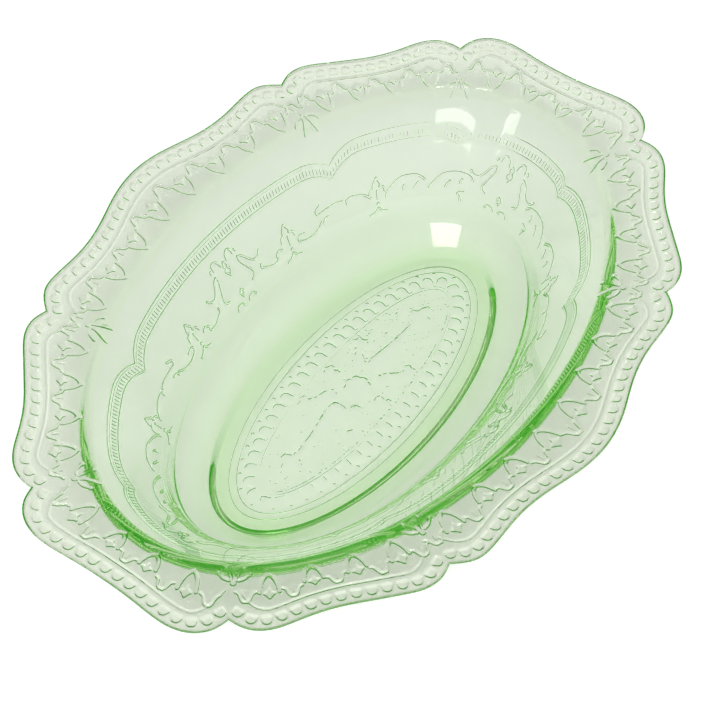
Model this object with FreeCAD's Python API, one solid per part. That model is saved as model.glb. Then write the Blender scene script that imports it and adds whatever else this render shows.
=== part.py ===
import FreeCAD, Part
import os

# Oval serving dish of pressed glass, all in millimetres.
# X is the long way of the dish, Y the short way, Z up.
# The origin is the middle of the footprint, on the surface that the dish stands on.

# Driving dimensions
HALF_LENGTH = 127.0          # dish, middle to the end of an end lobe
HALF_WIDTH = 94.5            # dish, middle to the crown of a side lobe
RIM_TOP = 52.0               # highest line of the rim
WALL = 3.2                   # glass of the floor and the wall
BRIM = 1.9                   # glass of the brim at its edge
RIM_ROUND_ABOVE = 0.4        # softened top edge of the rim
RIM_ROUND_BELOW = 1.3        # its rounder bottom edge
RIM_SPLIT = 50.5             # height between those two edges, all round
NOTCH_ROUND = 1.2            # softened bottom of a notch between two lobes

FOOT_OUTER = (69.0, 32.0)    # half axes of the foot's standing face, outside
FOOT_INNER = (64.0, 26.9)    # and inside
FOOT_HEIGHT = 2.9            # height of the foot's outer side
FOOT_SPREAD = 2.4            # how far that side leans outward
FOOT_ROUND = 0.25            # softened edges of the standing face
PANEL = (60.6, 23.7)         # half axes of the base panel
PANEL_STEP = 0.6             # height of each of the two steps up from the foot to the panel
FLOOR_HEIGHT = 2 * PANEL_STEP + WALL
FLOOR = (61.0, 26.0)         # half axes where the floor starts to rise
LEDGE = (80.5, 44.0)         # bend between the cove and the wall
LEDGE_HEIGHT = 12.2
WAIST = (84.4, 48.7)         # where the steep foot of the wall starts to flare
WAIST_HEIGHT = 22.0
SHOULDER = (107.0, 69.6)     # bend between the wall and the brim
SHOULDER_HEIGHT = 48.9
LEDGE_OFFSET = 2.4           # each outer bend lies this far beyond the inner one
WAIST_OFFSET = 2.7
SHOULDER_OFFSET = 3.2
LEDGE_DROP = 2.5             # and this far below it
WAIST_DROP = 1.7
SHOULDER_DROP = 1.35

FLOOR_BEND = 5.0             # distance from a corner at which its curve starts
LEDGE_BEND = 3.0
LEDGE_BEND_OUTSIDE = 1.0
WAIST_BEND = 5.0
SHOULDER_BEND = 3.6
SHOULDER_BEND_OUTSIDE = 2.4
HEEL_BEND = 0.8
BEND_STEPS = 5

BRIM_REACH = 26.0            # brim surfaces are made wider than the rim, then trimmed to it
BRIM_SLOPE = (RIM_TOP - SHOULDER_HEIGHT) / (HALF_WIDTH - SHOULDER[1])
BRIM_RISE = BRIM_REACH * BRIM_SLOPE
BLOCK_TOP = RIM_TOP + 4.0    # working solids reach above the rim

# Rim outline, one quarter: half a side lobe, a corner lobe and half an end lobe.
# Neighbouring lobes share the point at their notch.
SIDE_LOBE = [(0.0, HALF_WIDTH), (12.0, 92.8), (25.0, 88.6), (38.0, 86.2), (50.0, 86.0),
             (56.0, 84.8), (60.0, 81.6), (62.3, 78.8)]
CORNER_LOBE = [(62.3, 78.8), (67.5, 79.7), (73.0, 78.2), (79.0, 73.5), (86.0, 67.0), (94.0, 60.0),
               (103.0, 54.3), (109.5, 50.3), (113.5, 45.5), (114.8, 40.5), (114.8, 37.8)]
END_LOBE = [(114.8, 37.8), (119.5, 36.5), (124.0, 32.8), (126.6, 27.0), (HALF_LENGTH, 20.0),
            (126.3, 10.0), (126.0, 0.0)]
NOTCHES = [CORNER_LOBE[0], CORNER_LOBE[-1]]


def grown(half_axes, by):
    """Half axes of an ellipse moved outward."""
    return (half_axes[0] + by, half_axes[1] + by)


def station(half_axes, height):
    """One line of a dish surface: the two half axes of an ellipse, and its height."""
    return FreeCAD.Vector(half_axes[0], half_axes[1], height)


def bend(before, corner, after, reach):
    """Stations along the curve that replaces a corner between two straight slopes."""
    start = corner + (before - corner).normalize() * reach
    end = corner + (after - corner).normalize() * reach
    stations = []
    for step in range(BEND_STEPS + 1):
        t = step / BEND_STEPS
        stations.append(start * (1 - t) ** 2 + corner * 2 * t * (1 - t) + end * t ** 2)
    return stations


def smoothed(corners, reaches):
    """A profile through its corners, with a bend at each one between the two ends."""
    stations = [corners[0]]
    for index, reach in enumerate(reaches, start=1):
        stations += bend(corners[index - 1], corners[index], corners[index + 1], reach)
    stations.append(corners[-1])
    return stations


def body_through(stations):
    """Solid between the first and the last station, bounded by the surface through them all."""
    wires = []
    for at in stations:
        ellipse = Part.Ellipse(FreeCAD.Vector(0, 0, at.z), at.x, at.y)
        wires.append(Part.Wire([ellipse.toShape()]))
    return Part.makeLoft(wires, True, True)


def inside_body():
    """The space above the inner surface: floor, cove, wall and brim."""
    brim_edge = grown(SHOULDER, BRIM_REACH)
    stations = smoothed(
        [
            station(grown(FLOOR, -2 * FLOOR_BEND), FLOOR_HEIGHT),
            station(FLOOR, FLOOR_HEIGHT),
            station(LEDGE, LEDGE_HEIGHT),
            station(WAIST, WAIST_HEIGHT),
            station(SHOULDER, SHOULDER_HEIGHT),
            station(brim_edge, SHOULDER_HEIGHT + BRIM_RISE),
        ],
        [FLOOR_BEND, LEDGE_BEND, WAIST_BEND, SHOULDER_BEND],
    )
    stations.append(station(brim_edge, BLOCK_TOP + 1.0))
    return body_through(stations)


def outside_body():
    """Everything above the outer surface: foot, cove, wall and the brim's underside."""
    brim_edge = grown(SHOULDER, BRIM_REACH)
    stations = smoothed(
        [
            station(FOOT_OUTER, 0.0),
            station(grown(FOOT_OUTER, FOOT_SPREAD), FOOT_HEIGHT),
            station(grown(LEDGE, LEDGE_OFFSET), LEDGE_HEIGHT - LEDGE_DROP),
            station(grown(WAIST, WAIST_OFFSET), WAIST_HEIGHT - WAIST_DROP),
            station(grown(SHOULDER, SHOULDER_OFFSET), SHOULDER_HEIGHT - SHOULDER_DROP),
            station(brim_edge, SHOULDER_HEIGHT + BRIM_RISE - BRIM),
        ],
        [HEEL_BEND, LEDGE_BEND_OUTSIDE, WAIST_BEND, SHOULDER_BEND_OUTSIDE],
    )
    stations.append(station(brim_edge, BLOCK_TOP))
    return body_through(stations)


def recess_body(half_axes, height):
    """Shallow space under the base, inside the foot, with a slightly sloping side."""
    ceiling = grown(half_axes, -PANEL_STEP / 2)
    return body_through([station(half_axes, height - PANEL_STEP), station(ceiling, height)])


def lobe_points(points, x_sign, y_sign):
    """A quarter's lobe points, placed in one of the four quarters."""
    return [FreeCAD.Vector(x * x_sign, y * y_sign, 0) for x, y in points]


def lobe_edge(points):
    """A smooth edge through the points of one whole lobe."""
    curve = Part.BSplineCurve()
    curve.interpolate(points)
    return curve.toShape()


def rim_outline():
    """The closed outline of the rim: two side, two end and four corner lobes."""
    edges = []
    for sign in (1, -1):
        left = lobe_points(SIDE_LOBE, -1, sign)
        right = lobe_points(SIDE_LOBE, 1, sign)
        edges.append(lobe_edge(left[::-1] + right[1:]))
        far = lobe_points(END_LOBE, sign, 1)
        near = lobe_points(END_LOBE, sign, -1)
        edges.append(lobe_edge(far + near[-2::-1]))
        edges.append(lobe_edge(lobe_points(CORNER_LOBE, sign, 1)))
        edges.append(lobe_edge(lobe_points(CORNER_LOBE, sign, -1)))
    return Part.Wire(Part.sortEdges(edges)[0])


def middle_of(edge):
    return edge.valueAt((edge.FirstParameter + edge.LastParameter) / 2)


def notch_edges(dish):
    """The upright edges at the bottoms of the notches."""
    found = []
    for edge in dish.Edges:
        at = middle_of(edge)
        near_notch = any(abs(abs(at.x) - x) < 0.2 and abs(abs(at.y) - y) < 0.2 for x, y in NOTCHES)
        if near_notch and edge.BoundBox.ZLength > BRIM * 0.8:
            found.append(edge)
    return found


def rim_edges(dish, above):
    """The top edges all round the rim, or the bottom ones."""
    found = []
    for edge in dish.Edges:
        at = middle_of(edge)
        beyond_shoulder = (at.x / SHOULDER[0]) ** 2 + (at.y / SHOULDER[1]) ** 2 > 1.15
        lies_flat = edge.BoundBox.ZLength < BRIM * 0.6
        if beyond_shoulder and lies_flat and (at.z > RIM_SPLIT) == above:
            found.append(edge)
    return found


def standing_edges(dish):
    """The two edges of the foot's standing face."""
    return [edge for edge in dish.Edges if edge.BoundBox.ZMax < 0.01]


def glass_dish():
    """The dish, one pressing: hollowed, trimmed to its rim, and softened at its edges."""
    rim_block = Part.Face(rim_outline()).extrude(FreeCAD.Vector(0, 0, BLOCK_TOP))
    dish = outside_body().common(rim_block).cut(inside_body())
    dish = dish.cut(recess_body(FOOT_INNER, PANEL_STEP)).cut(recess_body(PANEL, 2 * PANEL_STEP))
    dish = dish.makeFillet(NOTCH_ROUND, notch_edges(dish))
    dish = dish.makeFillet(RIM_ROUND_BELOW, rim_edges(dish, above=False))
    dish = dish.makeFillet(RIM_ROUND_ABOVE, rim_edges(dish, above=True))
    return dish.makeFillet(FOOT_ROUND, standing_edges(dish))


os.makedirs("parts", exist_ok=True)
dish = glass_dish()
print("valid", dish.isValid(), "solids", len(dish.Solids), "volume", round(dish.Volume))
dish.exportStep("parts/glass_dish.step")
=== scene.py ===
import math

import bpy
import numpy as np
from mathutils import Matrix, Vector


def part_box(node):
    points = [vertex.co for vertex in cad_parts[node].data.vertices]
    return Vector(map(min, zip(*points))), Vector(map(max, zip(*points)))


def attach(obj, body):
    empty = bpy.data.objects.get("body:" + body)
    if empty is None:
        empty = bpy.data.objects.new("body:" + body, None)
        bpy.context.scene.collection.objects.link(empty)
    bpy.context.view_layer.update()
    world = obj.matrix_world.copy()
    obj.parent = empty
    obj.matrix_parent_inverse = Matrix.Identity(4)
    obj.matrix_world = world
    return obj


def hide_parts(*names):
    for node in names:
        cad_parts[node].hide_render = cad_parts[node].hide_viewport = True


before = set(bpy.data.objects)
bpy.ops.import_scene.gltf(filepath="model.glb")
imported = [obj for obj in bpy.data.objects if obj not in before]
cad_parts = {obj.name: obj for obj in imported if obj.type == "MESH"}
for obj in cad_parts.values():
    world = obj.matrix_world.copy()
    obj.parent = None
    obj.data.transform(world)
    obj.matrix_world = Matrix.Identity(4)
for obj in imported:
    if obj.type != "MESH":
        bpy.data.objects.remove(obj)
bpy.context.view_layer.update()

# Oval dish of pale green pressed glass, with its relief moulded on the underside.
# Shapes are worked out in millimetres and turned into metres when the mesh is made.

MM = 0.001
NODE = "glass_dish"
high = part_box(NODE)[1]

# Overall sizes, from the CAD model's box
HALF_LENGTH = high.x / MM
HALF_WIDTH = high.y / MM
RIM_TOP = 52.0

# Body of the dish, the same as the CAD model
WALL = 3.2
BRIM = 1.9
RIM_ROUND_ABOVE = 0.4
RIM_ROUND_BELOW = 1.3
FOOT_OUTER = (69.0, 32.0)
FOOT_INNER = (64.0, 26.9)
FOOT_HEIGHT = 2.9
FOOT_SPREAD = 2.4
PANEL = (60.6, 23.7)
PANEL_STEP = 0.6
FLOOR_HEIGHT = 2 * PANEL_STEP + WALL
FLOOR = (61.0, 26.0)
LEDGE = (80.5, 44.0)
LEDGE_HEIGHT = 12.2
WAIST = (84.4, 48.7)
WAIST_HEIGHT = 22.0
SHOULDER = (107.0, 69.6)
SHOULDER_HEIGHT = 48.9
LEDGE_OFFSET = 2.4
WAIST_OFFSET = 2.7
SHOULDER_OFFSET = 3.2
LEDGE_DROP = 2.5
WAIST_DROP = 1.7
SHOULDER_DROP = 1.35
BRIM_SLOPE = (RIM_TOP - SHOULDER_HEIGHT) / (HALF_WIDTH - SHOULDER[1])
BRIM_REACH = 26.0
UNDER_SLOPE = (BRIM_REACH * BRIM_SLOPE - BRIM + SHOULDER_DROP) / (BRIM_REACH - SHOULDER_OFFSET)

# Bends of the profile: the distance from a corner at which its curve starts.
# At the ledge the CAD model has 3.0 inside and 1.0 outside, so the two surfaces are up to 0.24 apart there.
PANEL_BEND = 0.15
FOOT_ROUND = 0.25
HEEL_BEND = 0.8
FLOOR_BEND = 5.0
LEDGE_BEND = 4.2
LEDGE_BEND_OUTSIDE = 0.7
WAIST_BEND = 5.0
SHOULDER_BEND = 3.6
SHOULDER_BEND_OUTSIDE = 2.4

# Rim outline, one quarter: half a side lobe, a corner lobe and half an end lobe
SIDE_LOBE = [(0.0, HALF_WIDTH), (12.0, 92.8), (25.0, 88.6), (38.0, 86.2), (50.0, 86.0),
             (56.0, 84.8), (60.0, 81.6), (62.3, 78.8)]
CORNER_LOBE = [(62.3, 78.8), (67.5, 79.7), (73.0, 78.2), (79.0, 73.5), (86.0, 67.0), (94.0, 60.0),
               (103.0, 54.3), (109.5, 50.3), (113.5, 45.5), (114.8, 40.5), (114.8, 37.8)]
END_LOBE = [(114.8, 37.8), (119.5, 36.5), (124.0, 32.8), (126.6, 27.0), (HALF_LENGTH, 20.0),
            (126.3, 10.0), (126.0, 0.0)]

# Mesh density: columns round a quarter of the base; the wall and the brim have twice as many
END_COLUMNS = 68
CORNER_COLUMNS = 106
SIDE_COLUMNS = 98
QUARTER = END_COLUMNS + CORNER_COLUMNS + SIDE_COLUMNS
BASE_SPLIT = 83              # columns of the base grid's short side, per quarter
WALL_ROW = 0.27
BRIM_ROW = 0.34
PLAIN_ROW = 1.3
BEND_STEPS = 6
WALL_RELIEF = (10.5, 40.0)    # heights that the wall's relief lies between


# ---------------------------------------------------------------- outline and profiles

def spline_through(points, count):
    """Points evenly spaced along a natural cubic spline through the given ones."""
    points = np.array(points, float)
    chord = np.concatenate([[0], np.cumsum(np.hypot(*np.diff(points, axis=0).T))])
    gaps = np.diff(chord)
    size = len(points)
    matrix = np.eye(size)
    right = np.zeros((size, 2))
    for i in range(1, size - 1):
        matrix[i, i - 1:i + 2] = gaps[i - 1], 2 * (gaps[i - 1] + gaps[i]), gaps[i]
        right[i] = 6 * ((points[i + 1] - points[i]) / gaps[i] - (points[i] - points[i - 1]) / gaps[i - 1])
    bend = np.linalg.solve(matrix, right)
    at = np.linspace(0, chord[-1], 40 * size)
    i = np.clip(np.searchsorted(chord, at, side="right") - 1, 0, size - 2)
    h = gaps[i][:, None]
    before = (chord[i + 1] - at)[:, None]
    after = (at - chord[i])[:, None]
    curve = (bend[i] * before ** 3 + bend[i + 1] * after ** 3) / (6 * h)
    curve += (points[i] / h - bend[i] * h / 6) * before + (points[i + 1] / h - bend[i + 1] * h / 6) * after
    return evenly(curve, count)


def evenly(path, count):
    """count + 1 points evenly spaced along a path."""
    run = np.concatenate([[0], np.cumsum(np.hypot(*np.diff(path, axis=0).T))])
    at = np.linspace(0, run[-1], count + 1)
    return np.stack([np.interp(at, run, path[:, k]) for k in range(2)], 1)


def rim_quarter(scale):
    """The outline from the end of the dish to the crown of its side, scale times as dense as the wall."""
    end = END_LOBE[::-1]
    end_whole = [(x, -y) for x, y in END_LOBE[:-1]] + end
    side_whole = SIDE_LOBE[::-1] + [(-x, y) for x, y in SIDE_LOBE[1:]]
    end_points = spline_through(end_whole, 2 * END_COLUMNS * scale)[END_COLUMNS * scale:]
    corner_points = spline_through(CORNER_LOBE[::-1], CORNER_COLUMNS * scale)
    side_points = spline_through(side_whole, 2 * SIDE_COLUMNS * scale)[:SIDE_COLUMNS * scale + 1]
    return np.concatenate([end_points[:-1], corner_points[:-1], side_points])


def all_round(quarter):
    """A closed loop from one quarter, which runs from the X axis to the Y axis."""
    second = quarter[-2::-1] * (-1, 1)
    half = np.concatenate([quarter, second])
    return np.concatenate([half[:-1], -half[:-1]])


def angles_round(quarter):
    """The same for ellipse angles, rising from 0."""
    half = np.concatenate([quarter, math.pi - quarter[-2::-1]])
    return np.concatenate([half[:-1], half[:-1] + math.pi])


def nearest_angle(points, half_axes):
    """The angle of the ellipse point nearest to each point outside it."""
    a, b = half_axes
    angle = np.arctan2(points[:, 1] * a, points[:, 0] * b)
    for _ in range(12):
        c, s = np.cos(angle), np.sin(angle)
        slope = (a * c - points[:, 0]) * -a * s + (b * s - points[:, 1]) * b * c
        curve = a * a * s * s + b * b * c * c
        curve = curve - a * c * (a * c - points[:, 0]) - b * s * (b * s - points[:, 1])
        angle = angle - slope / np.maximum(curve, 1.0)
    return angle


def smoothed(corners, reaches):
    """A profile of (half length, half width, height) stations, with a bend at each inner corner."""
    corners = [np.array(corner, float) for corner in corners]
    stations = [corners[0]]
    for index, reach in enumerate(reaches, start=1):
        before, corner, after = corners[index - 1:index + 2]
        start = corner + (before - corner) / np.linalg.norm(before - corner) * reach
        end = corner + (after - corner) / np.linalg.norm(after - corner) * reach
        for t in np.linspace(0, 1, BEND_STEPS + 1):
            stations.append(start * (1 - t) ** 2 + corner * 2 * t * (1 - t) + end * t ** 2)
    stations.append(corners[-1])
    return np.array(stations)


def with_rows(stations, spacing_at):
    """The profile with rows added, so that they are no further apart than spacing_at(height)."""
    rows = [stations[0]]
    for before, after in zip(stations, stations[1:]):
        length = np.hypot(after[:2].mean() - before[:2].mean(), after[2] - before[2])
        steps = max(1, math.ceil(length / spacing_at((before[2] + after[2]) / 2)))
        rows += [before + (after - before) * k / steps for k in range(1, steps + 1)]
    return np.array(rows)


def grown(half_axes, by, height):
    return (half_axes[0] + by, half_axes[1] + by, height)


def ellipse_ring(station, angle):
    x = station[0] * np.cos(angle)
    y = station[1] * np.sin(angle)
    return np.stack([x, y, np.full(len(angle), station[2])], 1)


# ---------------------------------------------------------------- relief, drawn with strokes

EDGE = 0.3                   # width of the slope at the side of a raised line or field


def rise(beyond):
    """1 inside an edge, 0 outside it, for a distance measured outward from the edge's middle."""
    t = np.clip(beyond / EDGE + 0.5, 0, 1)
    return 1 - t * t * (3 - 2 * t)


def curve(points, steps=5):
    """A smooth path through a few points."""
    points = np.array(points, float)
    padded = np.concatenate([[2 * points[0] - points[1]], points, [2 * points[-1] - points[-2]]])
    path = []
    for p0, p1, p2, p3 in zip(padded, padded[1:], padded[2:], padded[3:]):
        for t in np.arange(steps) / steps:
            path.append(0.5 * (2 * p1 + (p2 - p0) * t + (2 * p0 - 5 * p1 + 4 * p2 - p3) * t * t
                               + (3 * p1 - p0 - 3 * p2 + p3) * t ** 3))
    path.append(points[-1])
    return np.array(path)


def flipped(path):
    return np.array(path, float) * (-1, 1)


class Ground:
    """A patch of surface laid flat, x along it and y across it, that relief is raised on."""

    def __init__(self, x, y):
        self.x = x
        self.y = y
        self.height = np.zeros(x.shape)

    def near(self, path, margin):
        low_x, low_y = path.min(0) - margin
        high_x, high_y = path.max(0) + margin
        return (self.x > low_x) & (self.x < high_x) & (self.y > low_y) & (self.y < high_y)

    def distance(self, where, path):
        x, y = self.x[where], self.y[where]
        nearest = np.full(x.shape, 1e9)
        for (ax, ay), (bx, by) in zip(path[:-1], path[1:]):
            dx, dy = bx - ax, by - ay
            t = np.clip(((x - ax) * dx + (y - ay) * dy) / max(dx * dx + dy * dy, 1e-12), 0, 1)
            nearest = np.minimum(nearest, np.hypot(x - ax - t * dx, y - ay - t * dy))
        return nearest

    def rib(self, path, width, height):
        """A raised line."""
        path = np.array(path, float)
        where = self.near(path, width / 2 + EDGE)
        if where.any():
            raised = height * rise(self.distance(where, path) - width / 2)
            self.height[where] = np.maximum(self.height[where], raised)

    def field(self, outline, height, ramp=None):
        """A raised area inside a closed outline, flat or rising along a ramp (start, way, length)."""
        outline = np.array(outline, float)
        closed = np.concatenate([outline, outline[:1]])
        where = self.near(closed, EDGE)
        if not where.any():
            return
        x, y = self.x[where], self.y[where]
        inside = np.zeros(x.shape, bool)
        for (ax, ay), (bx, by) in zip(closed[:-1], closed[1:]):
            crosses = (ay > y) != (by > y)
            if ay != by:
                inside ^= crosses & (x < ax + (y - ay) * (bx - ax) / (by - ay))
        raised = height * rise(np.where(inside, -1, 1) * self.distance(where, closed))
        if ramp:
            start, way, length = ramp
            raised = raised * np.clip(((x - start[0]) * way[0] + (y - start[1]) * way[1]) / length, 0, 1)
        self.height[where] = np.maximum(self.height[where], raised)


def placed(path, origin, along, across):
    """A motif's path moved to its place: its x runs along, its y across."""
    path = np.array(path, float)
    return np.array(origin) + path[:, :1] * np.array(along) + path[:, 1:] * np.array(across)


# ---------------------------------------------------------------- relief of the brim

BEAD_PITCH = 4.5
BEAD_INSET = 3.8             # edge of the rim to the middle of a bead
BEAD_LENGTH = 3.3
BEAD_HEIGHT = 0.34
PANEL_INSET = 7.1
FINE_HEIGHT = 0.26
ARCH_HEIGHT = 0.38
ARCHES = {"end": (4, 11.8), "corner": (4, 12.1), "side": (8, 13.6)}
ARCH_DEPTH = 14.0            # shoulder to panel line, that the arches are drawn for

BEAD = curve([(-1.6, 1.65), (-1.65, 0.2), (-1.15, -1.2), (0, -1.65), (1.15, -1.2), (1.65, 0.2), (1.6, 1.65)])
ARCH_SIDE = curve([(0, 3.0), (1.2, 3.9), (2.2, 5.2), (2.9, 6.9), (3.3, 8.7)])
SHIELD = [(0, 7.0), (0.7, 8.3), (2.3, 9.1), (1.1, 9.9), (0, 11.0), (-1.1, 9.9), (-2.3, 9.1), (-0.7, 8.3)]
PENDANT = [(-3.5, 8.8), (-2.4, 9.3), (-1.4, 11.5), (-0.8, 12.1),
           (0.8, 12.1), (1.4, 11.5), (2.4, 9.3), (3.5, 8.8)]
PENDANT_VEIN = [(0, 8.4), (0, 10.6)]
PETAL_INNER = curve([(0.6, 5.4), (1.2, 3.0), (2.7, 0.6)])
PETAL_OUTER = curve([(1.4, 5.5), (3.2, 4.7), (4.7, 2.8)])
FLEUR_DOT = 6.4


def lobe_lines():
    """Each kind of lobe as a dense line, with the outward normals along it."""
    end_whole = [(x, -y) for x, y in END_LOBE[:-1]] + END_LOBE[::-1]
    side_whole = SIDE_LOBE[::-1] + [(-x, y) for x, y in SIDE_LOBE[1:]]
    lines = {}
    for name, points in (("end", end_whole), ("corner", CORNER_LOBE[::-1]), ("side", side_whole)):
        line = spline_through(points, 300)
        tangent = np.gradient(line, axis=0)
        tangent /= np.hypot(*tangent.T)[:, None]
        lines[name] = (line, np.stack([tangent[:, 1], -tangent[:, 0]], 1))
    return lines


def ellipse_frame(angle, half_axes):
    """A point of an ellipse, the way along it and the way out of it."""
    a, b = half_axes
    point = np.array([a * math.cos(angle), b * math.sin(angle)])
    along = np.array([-a * math.sin(angle), b * math.cos(angle)])
    along /= np.linalg.norm(along)
    return point, along, np.array([along[1], -along[0]])


def arc_table(half_axes):
    """Ellipse angles and the arc length up to each, from the X axis."""
    angle = np.linspace(-0.6, math.pi / 2 + 0.6, 4000)
    steps = np.hypot(half_axes[0] * np.sin(angle), half_axes[1] * np.cos(angle)) * (angle[1] - angle[0])
    run = np.cumsum(steps)
    return angle, run - np.interp(0, angle, run)


class Notch:
    """A notch between two lobes, with the line that runs from it towards the bowl."""

    def __init__(self, point):
        self.point = np.array(point)
        self.angle = nearest_angle(self.point[None], SHOULDER)[0]
        self.root, self.along = ellipse_frame(self.angle, SHOULDER)[:2]
        self.inward = (self.root - self.point) / np.linalg.norm(self.root - self.point)

    def aside(self, points):
        """Distance of points from the notch line, above 0 on the Y axis side."""
        offset = np.atleast_2d(points) - self.point
        return offset[:, 1] * self.inward[0] * -1 + offset[:, 0] * self.inward[1]


END_NOTCH = Notch(END_LOBE[0])
SIDE_NOTCH = Notch(SIDE_LOBE[-1])
LOBE_NOTCHES = {"end": [(END_NOTCH, -1)], "corner": [(END_NOTCH, 1), (SIDE_NOTCH, -1)],
                "side": [(SIDE_NOTCH, 1)]}


def clear_of_notches(name, points, least):
    """Which points of a lobe lie at least so far from the notch lines on both its sides."""
    keep = np.ones(len(points), bool)
    folded = np.abs(points) if name != "corner" else points
    for notch, side in LOBE_NOTCHES[name]:
        keep &= notch.aside(folded) * side >= least
    return keep


def draw_beads(ground, name, line, outward):
    """Tongue-shaped beads side by side, just inside the edge."""
    centres = line - outward * BEAD_INSET
    keep = clear_of_notches(name, centres, 2.3)
    centres, line, outward = centres[keep], line[keep], outward[keep]
    run = np.concatenate([[0], np.cumsum(np.hypot(*np.diff(centres, axis=0).T))])
    count = round(run[-1] / BEAD_PITCH)
    for at in np.linspace(0, run[-1], count + 1):
        centre = [np.interp(at, run, centres[:, k]) for k in range(2)]
        out = np.array([np.interp(at, run, outward[:, k]) for k in range(2)])
        out /= np.linalg.norm(out)
        ramp = (centre - out * BEAD_LENGTH / 2, out, BEAD_LENGTH * 0.3)
        ground.field(placed(BEAD, centre, (-out[1], out[0]), -out), BEAD_HEIGHT, ramp)


def draw_panel_line(ground, name, line, outward):
    """The fine rule inside the beads, which turns towards the bowl beside each notch."""
    inner = line - outward * PANEL_INSET
    keep = clear_of_notches(name, inner, 11.0)
    turn = clear_of_notches(name, inner, 7.2)
    path = inner[keep]
    ground.rib(path, 0.55, FINE_HEIGHT)
    for notch, side in LOBE_NOTCHES[name]:
        distance = notch.aside(np.abs(inner) if name != "corner" else inner) * side
        start = inner[keep][np.argmin(distance[keep])]
        corner = inner[turn][np.argmin(distance[turn])]
        if name != "corner":
            start, corner = np.abs(start), np.abs(corner)
        across = np.array([notch.inward[1], -notch.inward[0]]) * side
        end = notch.point + notch.inward * 10.5 + across * 2.0
        middle = corner + (end - corner) * 0.45
        t = np.linspace(0, 1, 10)[:, None]
        hook = start * (1 - t) ** 2 + corner * 2 * t * (1 - t) + middle * t * t
        ground.rib(np.concatenate([hook, [end]]), 0.55, FINE_HEIGHT)


def stretch_to_rim(line, point, out):
    """How deep the brim is at a shoulder point, against the depth that the arches are drawn for."""
    offset = line - point
    ahead = offset @ out
    aside = np.abs(offset[:, 0] * out[1] - offset[:, 1] * out[0])
    return (ahead[np.argmin(aside + 1000.0 * (ahead < 0))] - PANEL_INSET) / ARCH_DEPTH


def draw_garland(ground, name, line):
    """Pointed arches with a shield in each and a stepped leaf between, points towards the bowl."""
    angles, run = arc_table(SHOULDER)
    ends = {"end": (0.0, 0.0), "corner": (END_NOTCH.angle, SIDE_NOTCH.angle),
            "side": (math.pi / 2, math.pi / 2)}[name]
    middle = (np.interp(ends[0], angles, run) + np.interp(ends[1], angles, run)) / 2
    count, pitch = ARCHES[name]
    for k in range(count + 1):
        for motif_at, motif in ((k - count / 2 + 0.5, "arch"), (k - count / 2, "leaf")):
            if motif == "arch" and k == count:
                continue
            angle = np.interp(middle + motif_at * pitch, run, angles)
            point, along, out = ellipse_frame(angle, SHOULDER)
            stretch = (pitch / ARCHES["side"][1], stretch_to_rim(line, point, out))
            if motif == "arch":
                for side in (ARCH_SIDE, flipped(ARCH_SIDE)):
                    ground.rib(placed(side * stretch, point, along, out), 1.1, ARCH_HEIGHT)
                ground.field(placed(np.array(SHIELD) * stretch, point, along, out), ARCH_HEIGHT)
            else:
                ground.rib(placed(np.array(PENDANT) * stretch, point, along, out), 0.7, ARCH_HEIGHT)
                ground.rib(placed(np.array(PENDANT_VEIN) * stretch, point, along, out), 0.5, FINE_HEIGHT)


def draw_fleur(ground, notch):
    """Four petals that open towards the bowl from a dot, on a notch line."""
    point, along, out = ellipse_frame(notch.angle, SHOULDER)
    for petal in (PETAL_INNER, flipped(PETAL_INNER), PETAL_OUTER, flipped(PETAL_OUTER)):
        ground.rib(placed(petal, point, along, out), 0.9, ARCH_HEIGHT)
    dot = point + out * FLEUR_DOT
    ground.rib([dot, dot + 0.01], 1.8, ARCH_HEIGHT)


def brim_relief(points):
    """Relief heights at points of a quarter of the brim."""
    ground = Ground(points[..., 0], points[..., 1])
    for name, (line, outward) in lobe_lines().items():
        draw_beads(ground, name, line, outward)
        draw_panel_line(ground, name, line, outward)
        draw_garland(ground, name, line)
    draw_fleur(ground, END_NOTCH)
    draw_fleur(ground, SIDE_NOTCH)
    return ground.height


# ---------------------------------------------------------------- relief of the wall

BAND_AXES = (96.1, 60.5)     # wall ellipse that lengths along the wall are measured on
WALL_SLANT = 1.2             # slant length of the wall per unit of height
WALL_TAPER = 0.92            # length along the wall, low down, against the same at the band
BAND_CUSPS = (math.radians(20.9), math.radians(57.0))
CUSP_HEIGHTS = (31.9, 29.9)
BAND_LEVELS = {"end": 33.6, "corner": 34.4, "side": 33.3}
BAND_ROLLS = {"end": 6.0, "corner": 13.0, "side": 13.0}
BAND_RULES = ((0.0, 0.5), (3.0, 0.3), (3.75, 0.5))    # height above the lowest rule, and width
TICK_PITCH = 1.3
SCROLL_WIDTH = 0.6
SCROLL_HEIGHT = 0.5
RULE_HEIGHT = 0.42

# Long arcs of the garland on a quarter of the wall, as (ellipse angle in degrees, height) points
GARLAND = [
    [(29.5, 22.2), (30.5, 23.0), (32.4, 24.0), (34.9, 24.3), (37.4, 24.1),
     (39.5, 23.0), (41.0, 21.8), (42.2, 20.4), (42.4, 19.4)],
    [(12.6, 22.4), (13.7, 23.3), (15.4, 23.9), (18.4, 24.3), (21.4, 24.2),
     (23.9, 23.6), (25.9, 22.2), (27.4, 20.7), (28.1, 19.7)],
    [(47.0, 20.4), (49.0, 22.1), (51.0, 22.7), (53.0, 23.0), (54.3, 22.6), (54.2, 21.5)],
]
# The strokes below were drawn for a plain wall: they are squeezed and lifted to sit on this one
STROKE_SQUEEZE = 0.84
SCROLL_LIFT = 6.0
CREST_LIFT = 5.1
SPRIG_TURN = -1.0            # degrees that the sprigs are turned by, to stay with the garland
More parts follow.
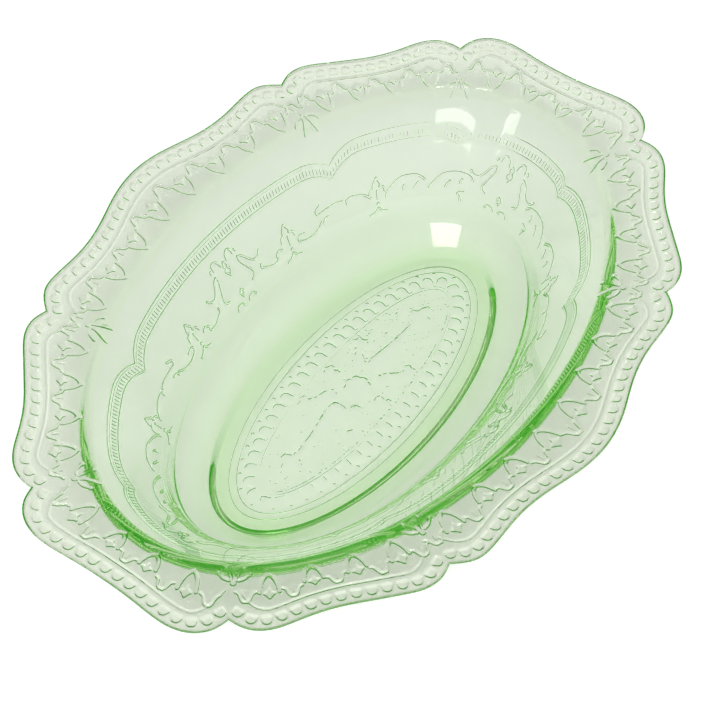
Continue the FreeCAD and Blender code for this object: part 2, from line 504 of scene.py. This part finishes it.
# Sprigs inside the garland's arcs, as (ellipse angle in degrees, height) points
SPRIGS = [
    [(33.0, 18.9), (33.6, 17.9), (34.3, 17.0)],
    [(37.4, 18.7), (37.8, 17.8), (37.6, 16.9)],
    [(22.0, 18.8), (22.8, 17.7), (23.4, 16.6)],
    [(17.6, 19.6), (18.2, 18.8), (18.0, 18.0)],
    [(17.0, 10.8), (17.5, 12.8), (18.4, 14.3), (16.2, 15.0)],
]
# Scrolls between the garland and the side crest, as (ellipse angle in degrees, height) points
SCROLLS = [
    [(55.4, 20.1), (57.6, 20.5), (61.0, 20.0), (62.9, 19.8), (63.3, 21.2), (61.9, 22.5)],
    [(60.2, 17.6), (61.4, 17.2), (61.9, 16.0)],
    [(62.4, 16.8), (64.2, 14.8), (66.4, 13.9), (68.6, 14.2), (70.0, 15.4), (69.6, 16.9), (67.9, 16.6)],
    [(75.2, 16.2), (76.3, 16.9), (77.2, 15.6), (77.1, 14.2), (78.6, 13.6),
     (80.6, 14.6), (82.2, 16.0), (82.1, 17.2)],
]
# Crest over the middle of a side or end lobe, half of it, as (length along, height) points
CREST = [
    [(1.7, 27.8), (2.3, 29.5), (3.7, 30.5), (5.0, 29.8), (5.2, 28.2)],
    [(6.5, 28.9), (6.9, 28.2)],
    [(0.0, 28.2), (0.9, 26.8), (0.4, 25.9), (1.3, 24.9), (0.0, 23.0)],
    [(6.2, 26.2), (8.0, 25.2), (10.3, 22.4), (12.3, 21.3), (14.4, 21.9), (15.3, 23.0)],
    [(6.2, 26.2), (6.1, 24.4), (7.7, 21.2), (9.1, 18.6), (8.6, 17.0), (7.2, 16.2)],
    [(0.0, 16.8), (0.9, 15.4), (0.0, 13.8)],
    [(1.5, 10.6), (2.5, 11.8), (4.6, 12.0), (5.8, 10.6)],
]
# Flower on the garland, half of it
FLOWER = [
    [(0.0, 24.6), (1.6, 22.2), (1.2, 21.4), (2.8, 20.9), (3.4, 19.4)],
    [(0.0, 20.2), (0.0, 17.2)],
    [(0.0, 15.6), (0.3, 15.2)],
    [(0.0, 13.8), (1.6, 12.2), (3.8, 11.4)],
]
FLOWER_ANGLES = (45.0, 72.6)


def fitted(strokes, lift, turn=0.0):
    """Strokes drawn for a plain wall, moved to where they sit on this one."""
    return [[(along + turn, STROKE_SQUEEZE * z + lift) for along, z in stroke] for stroke in strokes]


def wall_relief(angle, heights):
    """Relief heights on a quarter of the wall, for each row height and column angle."""
    angles, run = arc_table(BAND_AXES)
    along = np.interp(angle, angles, run)
    cusp_end, cusp_side = np.interp(BAND_CUSPS, angles, run)
    crown = np.interp(math.pi / 2, angles, run)

    lowest = np.empty(along.shape)
    lobes = {"end": (along < cusp_end, cusp_end - along, None),
             "corner": ((along >= cusp_end) & (along < cusp_side), along - cusp_end, cusp_side - along),
             "side": (along >= cusp_side, along - cusp_side, None)}
    cusp_height = {"end": CUSP_HEIGHTS[0], "side": CUSP_HEIGHTS[1]}
    for name, (where, from_first, from_second) in lobes.items():
        level = BAND_LEVELS[name]
        x = np.clip(from_first[where] / BAND_ROLLS[name], 0, 1)
        first = cusp_height["end" if name in ("end", "corner") else "side"]
        value = first + (level - first) * (1 - (1 - x) ** 2.2)
        if from_second is not None:
            x = np.clip(from_second[where] / BAND_ROLLS[name], 0, 1)
            second = cusp_height["side"] + (level - cusp_height["side"]) * (1 - (1 - x) ** 2.2)
            value = np.minimum(value, second)
        lowest[where] = value

    x = np.broadcast_to(along * WALL_TAPER, (len(heights), len(along)))
    y = np.broadcast_to(heights[:, None] * WALL_SLANT, x.shape)
    ground = Ground(x, y)

    over = (heights[:, None] - lowest[None]) * WALL_SLANT
    tilt = np.cos(np.arctan(np.gradient(lowest * WALL_SLANT, along * WALL_TAPER)))
    for level, width in BAND_RULES:
        beyond = np.abs(over - level * WALL_SLANT) * tilt - width / 2
        ground.height = np.maximum(ground.height, RULE_HEIGHT * rise(beyond))
    tick = np.abs((along / TICK_PITCH) % 1 - 0.5) * TICK_PITCH
    inside = np.abs(over - 1.6 * WALL_SLANT) - 1.0
    ticks = rise(np.broadcast_to(tick - 0.18, x.shape)) * rise(inside)
    ground.height = np.maximum(ground.height, RULE_HEIGHT * ticks)

    def scroll(path):
        path = curve(path)
        ground.rib(path * (WALL_TAPER, WALL_SLANT), SCROLL_WIDTH, SCROLL_HEIGHT)

    for stroke in GARLAND + fitted(SPRIGS, SCROLL_LIFT, SPRIG_TURN) + fitted(SCROLLS, SCROLL_LIFT):
        scroll([(np.interp(math.radians(degrees), angles, run), z) for degrees, z in stroke])
    for stroke in fitted(CREST, CREST_LIFT):
        for sign in (1, -1):
            scroll([(crown + sign * x_, z) for x_, z in stroke])
            scroll([(sign * x_, z + 1.0) for x_, z in stroke])
    for degrees in FLOWER_ANGLES:
        centre = np.interp(math.radians(degrees), angles, run)
        for stroke in fitted(FLOWER, CREST_LIFT):
            for sign in (1, -1):
                scroll([(centre + sign * x_, z) for x_, z in stroke])
    return ground.height


# ---------------------------------------------------------------- relief under the base

BASE_DEPTH = 0.3
ARCADE_AXES = (55.5, 17.9)   # ellipse through the middles of the beads
ARCADE_COUNT = 48
ARCADE_BEAD = curve([(-1.7, -1.7), (-1.75, 0.4), (-1.2, 1.7), (0, 2.2), (1.2, 1.7), (1.75, 0.4), (1.7, -1.7)])
ARCADE_DOT = 3.3
RULE_AXES = ((52.8, 15.8), (51.6, 14.6))
ROSETTE = 4.7
SPOKE_LONG = [(9.0, 0.0), (9.4, 2.0), (11.0, 3.2), (13.0, 3.3), (18.5, 2.4), (25.5, 1.3), (33.0, 0.9),
              (35.3, 1.3), (36.6, 3.7), (38.6, 4.0), (39.4, 2.0), (41.0, 1.6), (43.4, 0.0)]
SPOKE_SHORT = [(7.6, 0.0), (8.0, 1.5), (9.6, 1.8), (11.0, 0.9),
               (11.6, 2.3), (13.0, 2.3), (13.2, 1.0), (14.4, 0.0)]
SPOKE_SLANT = [(7.6, 0.0), (8.4, 2.0), (11.0, 2.2), (15.0, 1.0), (17.6, 1.1), (18.2, 2.9),
               (20.2, 2.7), (20.5, 1.0), (22.0, 0.0)]
SLANT_ANGLE = math.radians(34)
STIPPLE_HEIGHT = 0.3


def both_sides(half):
    return half + [(x, -y) for x, y in half[::-1]]


def base_relief(x, y):
    """How far points under the base panel are sunk into the glass, above 0, or stand out, under 0."""
    ground = Ground(x, y)
    a, b = ARCADE_AXES
    angle = np.linspace(0, 2 * math.pi, 4001)
    run = np.concatenate([[0], np.cumsum(np.hypot(np.diff(a * np.cos(angle)), np.diff(b * np.sin(angle))))])
    for k in range(ARCADE_COUNT):
        middle = np.interp((k + 0.5) / ARCADE_COUNT * run[-1], run, angle)
        point, along, out = ellipse_frame(middle, ARCADE_AXES)
        ground.field(placed(ARCADE_BEAD, point, along, out), BASE_DEPTH)
        point, along, out = ellipse_frame(np.interp(k / ARCADE_COUNT * run[-1], run, angle), ARCADE_AXES)
        dot = point + out * ARCADE_DOT
        ground.rib([dot, dot + out * 0.4], 0.9, BASE_DEPTH)
    for axes in RULE_AXES:
        rule = np.stack([axes[0] * np.cos(angle[::20]), axes[1] * np.sin(angle[::20])], 1)
        ground.rib(rule, 0.45, FINE_HEIGHT)
    petals = np.linspace(0, 2 * math.pi, 97)[:-1]
    radius = ROSETTE * (0.82 + 0.18 * np.abs(np.cos(4 * petals)) ** 0.6)
    ground.field(np.stack([radius * np.cos(petals), radius * np.sin(petals)], 1), BASE_DEPTH)
    slants = (SLANT_ANGLE, math.pi - SLANT_ANGLE, math.pi + SLANT_ANGLE, -SLANT_ANGLE)
    spokes = ((SPOKE_LONG, (0, math.pi)), (SPOKE_SHORT, (math.pi / 2, -math.pi / 2)), (SPOKE_SLANT, slants))
    for half, turns in spokes:
        for turn in turns:
            along = (math.cos(turn), math.sin(turn))
            ground.field(placed(both_sides(half), (0, 0), along, (-along[1], along[0])), BASE_DEPTH)
    inside = (x / RULE_AXES[1][0]) ** 2 + (y / RULE_AXES[1][1]) ** 2 < 0.97
    grain = np.random.default_rng(11).random(x.shape)
    grain = (grain[1:, 1:] + grain[:-1, 1:] + grain[1:, :-1] + grain[:-1, :-1]) / 2 - 1
    grain = np.pad(grain, ((0, 1), (0, 1))) * STIPPLE_HEIGHT
    return np.where(inside & (ground.height < 0.05), grain, ground.height)


# ---------------------------------------------------------------- the dish as one closed skin

class Skin:
    """Points and faces of the dish, added patch by patch. Faces look out of the glass when each ring
    follows the last one outward below and inward above."""

    def __init__(self):
        self.points = []
        self.faces = []
        self.count = 0

    def add(self, points):
        """Adds an array of points and gives back their numbers in the same layout."""
        numbers = np.arange(self.count, self.count + points[..., 0].size).reshape(points.shape[:-1])
        self.points.append(points.reshape(-1, 3))
        self.count += numbers.size
        return numbers

    def join(self, ring, following):
        """Faces between two closed rings, or two with one having twice the other's columns."""
        if len(ring) == len(following):
            self.faces.append(np.stack([ring, np.roll(ring, -1), np.roll(following, -1), following], 1))
        elif len(ring) < len(following):
            ring_next = np.roll(ring, -1)
            first, half, last = following[0::2], following[1::2], np.roll(following[0::2], -1)
            self.faces += [np.stack(corners, 1) for corners in
                           ((ring, half, first), (ring, ring_next, half), (ring_next, last, half))]
        else:
            next_one = np.roll(following, -1)
            first, half, last = ring[0::2], ring[1::2], np.roll(ring[0::2], -1)
            self.faces += [np.stack(corners, 1) for corners in
                           ((first, half, following), (half, next_one, following), (half, last, next_one))]

    def fill(self, grid, face_up):
        """Faces of an open grid of points."""
        corners = [grid[:-1, :-1], grid[:-1, 1:], grid[1:, 1:], grid[1:, :-1]]
        if face_up:
            corners = corners[::-1]
        self.faces.append(np.stack([corner.ravel() for corner in corners], 1))

    def to_mesh(self, name):
        mesh = bpy.data.meshes.new(name)
        points = np.concatenate(self.points) * MM
        loops = np.concatenate([faces.ravel() for faces in self.faces])
        sizes = np.concatenate([np.full(len(faces), faces.shape[1]) for faces in self.faces])
        mesh.vertices.add(len(points))
        mesh.vertices.foreach_set("co", points.ravel())
        mesh.loops.add(len(loops))
        mesh.loops.foreach_set("vertex_index", loops.astype(np.int32))
        mesh.polygons.add(len(sizes))
        starts = np.concatenate([[0], np.cumsum(sizes)[:-1]])
        mesh.polygons.foreach_set("loop_start", starts.astype(np.int32))
        mesh.polygons.foreach_set("use_smooth", np.ones(len(sizes), bool))
        mesh.update(calc_edges=True)
        mesh.validate()
        return mesh


def oval_grid(half_axes, height, split, columns):
    """A grid of points over an ellipse: columns per quarter of its edge, split of them on the X side."""
    u = np.linspace(-1, 1, 2 * (columns - split) + 1)[:, None]
    v = np.linspace(-1, 1, 2 * split + 1)[None]
    x = half_axes[0] * u * np.sqrt(1 - v * v / 2)
    y = half_axes[1] * v * np.sqrt(1 - u * u / 2)
    return np.stack([x, y, np.full(x.shape, height)], -1)


def grid_edge(grid):
    """The numbers round the edge of an oval grid, starting on the X axis and going round towards Y."""
    middle = grid.shape[1] // 2
    sides = [grid[-1, middle:-1], grid[:0:-1, -1], grid[0, :0:-1], grid[:-1, 0], grid[-1, :middle]]
    return np.concatenate(sides)


def edge_angles(split, columns):
    """Ellipse angles round the edge of an oval grid, for one quarter."""
    v = np.arange(split + 1) / split
    u = 1 - np.arange(1, columns - split + 1) / (columns - split)
    return np.concatenate([np.arcsin(v / math.sqrt(2)), np.arccos(u / math.sqrt(2))])


def mirrored_all_round(quarter):
    """Values round a whole ring from one quarter of it, for each row."""
    half = np.concatenate([quarter, quarter[..., -2::-1]], -1)
    return np.concatenate([half[..., :-1], half[..., :-1]], -1)


def normals(rows):
    """Outward normals of a block of closed rings."""
    across = np.gradient(rows, axis=0)
    round_ = np.roll(rows, -1, axis=1) - np.roll(rows, 1, axis=1)
    out = np.cross(round_, across)
    return out / np.linalg.norm(out, axis=-1, keepdims=True)


def row_spacing(height):
    """Rows are close where the wall carries its band and scrollwork, and at the shoulder."""
    if height > SHOULDER_HEIGHT - SHOULDER_DROP - 3.0:
        return BRIM_ROW
    return WALL_ROW if WALL_RELIEF[0] < height < WALL_RELIEF[1] else PLAIN_ROW


def blended(first, second, share):
    return first + (second - first) * share


def under_stations():
    """The profile under the dish, from the base panel to where the brim starts."""
    stations = smoothed(
        [
            grown(PANEL, -PANEL_STEP / 4, 2 * PANEL_STEP),
            grown(PANEL, 0.0, PANEL_STEP),
            grown(FOOT_INNER, -PANEL_STEP / 4, PANEL_STEP),
            grown(FOOT_INNER, 0.0, 0.0),
            grown(FOOT_OUTER, 0.0, 0.0),
            grown(FOOT_OUTER, FOOT_SPREAD, FOOT_HEIGHT),
            grown(LEDGE, LEDGE_OFFSET, LEDGE_HEIGHT - LEDGE_DROP),
            grown(WAIST, WAIST_OFFSET, WAIST_HEIGHT - WAIST_DROP),
            grown(SHOULDER, SHOULDER_OFFSET, SHOULDER_HEIGHT - SHOULDER_DROP),
            grown(SHOULDER, BRIM_REACH, SHOULDER_HEIGHT + BRIM_REACH * BRIM_SLOPE - BRIM),
        ],
        [PANEL_BEND, PANEL_BEND, PANEL_BEND, FOOT_ROUND, HEEL_BEND,
         LEDGE_BEND_OUTSIDE, WAIST_BEND, SHOULDER_BEND_OUTSIDE],
    )
    return with_rows(stations[:-1], row_spacing)


def inner_stations():
    """The profile of the inner surface, from the brim down to the floor."""
    stations = smoothed(
        [
            grown(FLOOR, -2 * FLOOR_BEND, FLOOR_HEIGHT),
            grown(FLOOR, 0.0, FLOOR_HEIGHT),
            grown(LEDGE, 0.0, LEDGE_HEIGHT),
            grown(WAIST, 0.0, WAIST_HEIGHT),
            grown(SHOULDER, 0.0, SHOULDER_HEIGHT),
            grown(SHOULDER, BRIM_REACH, SHOULDER_HEIGHT + BRIM_REACH * BRIM_SLOPE),
        ],
        [FLOOR_BEND, LEDGE_BEND, WAIST_BEND, SHOULDER_BEND],
    )
    return with_rows(stations[:-1], lambda height: PLAIN_ROW)[::-1]


def dish_skin():
    skin = Skin()

    # Columns: rim points at both densities, and the ellipse angle that each one stands over
    rim = rim_quarter(2)
    brim_start = (SHOULDER[0] + 5.6, SHOULDER[1] + 5.6)
    fine_angle = nearest_angle(rim, brim_start)
    fine_angle[[0, -1]] = 0, math.pi / 2
    half_angle = fine_angle[::2]

    # Base panel, then foot and cove
    stations = under_stations()
    base = oval_grid(stations[0][:2], 2 * PANEL_STEP, BASE_SPLIT, QUARTER)
    base[..., 2] += base_relief(base[..., 0], base[..., 1])
    base_numbers = skin.add(base)
    skin.fill(base_numbers, face_up=False)
    previous = grid_edge(base_numbers)
    low_angle = angles_round(edge_angles(BASE_SPLIT, QUARTER))
    wall_from = int(np.argmax(stations[:, 2] > WALL_RELIEF[0]))
    share = np.clip((stations[:, 0] - PANEL[0]) / (stations[wall_from, 0] - PANEL[0]), 0, 1)
    for at, s in zip(stations[1:wall_from], share[1:]):
        numbers = skin.add(ellipse_ring(at, blended(low_angle, angles_round(half_angle), s)))
        skin.join(previous, numbers)
        previous = numbers

    # Wall and shoulder
    stations = stations[wall_from:]
    rings = np.array([ellipse_ring(at, angles_round(fine_angle)) for at in stations])
    quarter = rings[:, :len(fine_angle)]
    relief = wall_relief(fine_angle, stations[:, 2])
    relief *= (stations[:, 2] < WALL_RELIEF[1])[:, None]
    on_shoulder = stations[:, 0] > SHOULDER[0] - 1.0
    relief[on_shoulder] = brim_relief(quarter[on_shoulder])
    rings += normals(rings) * mirrored_all_round(relief)[..., None]
    for ring in rings:
        numbers = skin.add(ring)
        skin.join(previous, numbers)
        previous = numbers

    # Underside of the brim
    start = ellipse_ring(stations[-1], fine_angle)
    reach = np.linalg.norm(rim - ellipse_ring(np.array([*SHOULDER, 0.0]),
                                              nearest_angle(rim, SHOULDER))[:, :2], axis=1)
    out = rim - start[:, :2]
    out /= np.linalg.norm(out, axis=1)[:, None]
    top_height = SHOULDER_HEIGHT + reach * BRIM_SLOPE
    bottom_height = SHOULDER_HEIGHT - SHOULDER_DROP + (reach - SHOULDER_OFFSET) * UNDER_SLOPE
    finish = np.column_stack([rim - out * RIM_ROUND_BELOW, bottom_height])
    steps = math.ceil(np.linalg.norm(finish - start, axis=1).mean() / BRIM_ROW)
    share = np.linspace(0, 1, steps + 1)[1:, None, None]
    quarter = blended(start[None], finish[None], share)
    heights = brim_relief(quarter)
    fade = np.clip((steps - np.arange(1, steps + 1)) / 2, 0, 1)[:, None]
    relief = mirrored_all_round(heights * fade)
    brim = np.stack([np.column_stack([all_round(ring[:, :2]), mirrored_all_round(ring[:, 2])])
                     for ring in quarter])
    brim += normals(brim) * relief[..., None]
    for ring in brim:
        numbers = skin.add(ring)
        skin.join(previous, numbers)
        previous = numbers

    # Rounded edge of the rim
    def rim_ring(inward, height):
        points = rim - out * inward
        return np.column_stack([all_round(points), mirrored_all_round(height)])

    quarter_turn = np.linspace(0, math.pi / 2, 7)
    profile = [(RIM_ROUND_BELOW * (1 - math.sin(t)), bottom_height + RIM_ROUND_BELOW * (1 - math.cos(t)))
               for t in quarter_turn[1:]]
    profile += [(RIM_ROUND_ABOVE * (1 - math.cos(t)), top_height - RIM_ROUND_ABOVE * (1 - math.sin(t)))
                for t in quarter_turn[::2]]
    profile += [(RIM_ROUND_ABOVE + 0.3, top_height)]
    for inward, height in profile:
        numbers = skin.add(rim_ring(inward, height))
        skin.join(previous, numbers)
        previous = numbers

    # Top of the brim, wall, cove and floor
    stations = inner_stations()
    edge = np.column_stack([rim - out * (RIM_ROUND_ABOVE + 0.3), top_height])[::2]
    landing = ellipse_ring(stations[0], half_angle)
    for k in range(1, 13):
        ring = blended(edge, landing, k / 13)
        numbers = skin.add(np.column_stack([all_round(ring[:, :2]), mirrored_all_round(ring[:, 2])]))
        skin.join(previous, numbers)
        previous = numbers
    floor_split, floor_columns = 21, QUARTER // 4
    low_angle = angles_round(edge_angles(floor_split, floor_columns))
    share = np.clip((stations[:, 0] - stations[-1, 0]) / (LEDGE[0] - stations[-1, 0]), 0, 1)
    for at, s in zip(stations[:-1], share):
        if at[2] > LEDGE_HEIGHT:
            angle = angles_round(half_angle[::2])
        else:
            angle = blended(low_angle, angles_round(half_angle[::4]), s)
        numbers = skin.add(ellipse_ring(at, angle))
        skin.join(previous, numbers)
        previous = numbers
    floor = oval_grid(stations[-1][:2], FLOOR_HEIGHT, floor_split, floor_columns)
    floor_numbers = skin.add(floor)
    skin.join(previous, grid_edge(floor_numbers))
    skin.fill(floor_numbers, face_up=True)
    return skin


# ---------------------------------------------------------------- material

def glass_material():
    """Pale green glass: clear at its surface, with the green building up with the depth of glass, a painted
    green glow inside it and painted shade on its brim.
    """
    material = bpy.data.materials.new("green_glass")
    material.use_nodes = True
    nodes = material.node_tree.nodes
    links = material.node_tree.links
    nodes.clear()
    output = nodes.new("ShaderNodeOutputMaterial")
    surface = nodes.new("ShaderNodeBsdfPrincipled")
    surface.inputs["Transmission Weight"].default_value = 1.0
    surface.inputs["IOR"].default_value = 1.51
    surface.inputs["Roughness"].default_value = 0.0
    links.new(surface.outputs["BSDF"], output.inputs["Surface"])

    # Painted shade on the brim: its base colour greys with height, a little patchy and deepest at its edge,
    # standing in for the shadow that the brim casts on the floor seen through it, because bare glass there
    # comes out too pale in this light
    place = nodes.new("ShaderNodeTexCoord")
    height = nodes.new("ShaderNodeSeparateXYZ")
    brim_painted_shade = nodes.new("ShaderNodeValToRGB")
    reach = nodes.new("ShaderNodeMapRange")
    reach.inputs["From Min"].default_value = (SHOULDER_HEIGHT - SHOULDER_DROP - 0.6) * MM
    reach.inputs["From Max"].default_value = RIM_TOP * MM
    brim_painted_shade.color_ramp.elements[0].color = (1.0, 1.0, 1.0, 1)
    brim_painted_shade.color_ramp.elements[1].color = (0.78, 0.79, 0.74, 1)
    middle = brim_painted_shade.color_ramp.elements.new(0.2)
    middle.color = (0.91, 0.95, 0.87, 1)
    links.new(place.outputs["Object"], height.inputs["Vector"])
    # Noise shifts the height that the painted shade follows, so that the shade is patchy
    brim_shade_noise = nodes.new("ShaderNodeTexNoise")
    brim_shade_noise.inputs["Scale"].default_value = 60.0
    brim_shade_noise.inputs["Detail"].default_value = 3.0
    noisy_shade_height = nodes.new("ShaderNodeMath")
    noisy_shade_height.operation = "MULTIPLY_ADD"
    noisy_shade_height.inputs[1].default_value = 0.0015
    links.new(place.outputs["Object"], brim_shade_noise.inputs["Vector"])
    links.new(brim_shade_noise.outputs["Fac"], noisy_shade_height.inputs[0])
    links.new(height.outputs["Z"], noisy_shade_height.inputs[2])
    links.new(noisy_shade_height.outputs["Value"], reach.inputs["Value"])
    links.new(reach.outputs["Result"], brim_painted_shade.inputs["Fac"])
    links.new(brim_painted_shade.outputs["Color"], surface.inputs["Base Color"])

    depth = nodes.new("ShaderNodeVolumeAbsorption")
    depth.inputs["Color"].default_value = (0.369, 0.754, 0.046, 1)
    depth.inputs["Density"].default_value = 53.0
    # Painted glow: the glass gives off green light of its own, more where the glass is deeper, to brighten
    # its thick parts
    painted_glow = nodes.new("ShaderNodeEmission")
    painted_glow.inputs["Color"].default_value = (0.2, 1.0, 0.05, 1)
    painted_glow.inputs["Strength"].default_value = 4.0
    volume = nodes.new("ShaderNodeAddShader")
    links.new(depth.outputs["Volume"], volume.inputs[0])
    links.new(painted_glow.outputs["Emission"], volume.inputs[1])
    links.new(volume.outputs["Shader"], output.inputs["Volume"])
    return material


def floor_material():
    material = bpy.data.materials.new("pale_floor")
    material.use_nodes = True
    surface = material.node_tree.nodes["Principled BSDF"]
    surface.inputs["Base Color"].default_value = (0.8, 0.8, 0.8, 1)
    surface.inputs["Roughness"].default_value = 0.9
    surface.inputs["Specular IOR Level"].default_value = 0.0
    surface.inputs["Emission Color"].default_value = (1.0, 1.0, 1.0, 1)
    surface.inputs["Emission Strength"].default_value = 0.4
    return material


# ---------------------------------------------------------------- scene

def add_object(name, mesh, material):
    piece = bpy.data.objects.new(name, mesh)
    piece.data.materials.append(material)
    bpy.context.scene.collection.objects.link(piece)
    return piece


def add_floor():
    size = 3.0
    level = -0.0002
    corners = [(-size, -size, level), (size, -size, level), (size, size, level), (-size, size, level)]
    mesh = bpy.data.meshes.new("floor")
    mesh.from_pydata(corners, [], [(0, 1, 2, 3)])
    floor = add_object("floor", mesh, floor_material())


def add_softbox(name, position, target, size, power, mirrored):
    light = bpy.data.lights.new(name, "AREA")
    light.shape = "RECTANGLE"
    light.size, light.size_y = size
    light.energy = power
    lamp = bpy.data.objects.new(name, light)
    lamp.location = position
    lamp.rotation_euler = (Vector(target) - Vector(position)).to_track_quat("-Z", "Y").to_euler()
    lamp.visible_glossy = mirrored
    bpy.context.scene.collection.objects.link(lamp)


def add_world():
    world = bpy.data.worlds.new("studio")
    bpy.context.scene.world = world
    world.use_nodes = True
    background = world.node_tree.nodes["Background"]
    background.inputs["Color"].default_value = (1, 1, 1, 1)
    background.inputs["Strength"].default_value = 0.4


def add_camera():
    """Looks down across the dish, with its long axis running away to the right."""
    azimuth = math.radians(-54.13)
    elevation = math.radians(54.16)
    roll = math.radians(0.15)
    distance = 0.6332
    slide = (-0.00088, -0.00976)
    pivot = Vector((0, 0, 0.002))
    back = Vector((math.sin(azimuth) * math.cos(elevation), -math.cos(azimuth) * math.cos(elevation),
                   math.sin(elevation)))
    level = Vector((0, 0, 1)).cross(back).normalized()
    up = back.cross(level)
    right = math.cos(roll) * level + math.sin(roll) * up
    up = -math.sin(roll) * level + math.cos(roll) * up
    camera = bpy.data.cameras.new("camera")
    camera.sensor_width = 36.0
    camera.lens = 91.8
    camera.clip_start = 0.01
    eye = bpy.data.objects.new("camera", camera)
    place = Matrix((right, up, back)).transposed().to_4x4()
    place.translation = pivot - slide[0] * right - slide[1] * up + distance * back
    eye.matrix_world = place
    bpy.context.scene.collection.objects.link(eye)
    bpy.context.scene.camera = eye


dish = add_object("dish", dish_skin().to_mesh("dish"), glass_material())
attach(dish, "root")
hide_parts(NODE)
add_floor()
add_world()
add_softbox("key", (-0.859, -0.621, 1.696), (0, 0, 0), (0.8, 0.4), 24.0, False)
add_softbox("window_left", (-1.543, -1.078, 1.263), (0.118, -0.232, 0), (0.9, 0.024), 0.34, True)
add_softbox("window_right", (-1.87, 0.23, 1.23), (0, 0, 0), (0.3, 0.036), 0.2, True)
add_camera()
bpy.context.scene.view_settings.view_transform = "Standard"
bpy.context.scene.cycles.max_bounces = 32
bpy.context.scene.cycles.transmission_bounces = 32
bpy.context.scene.cycles.glossy_bounces = 32
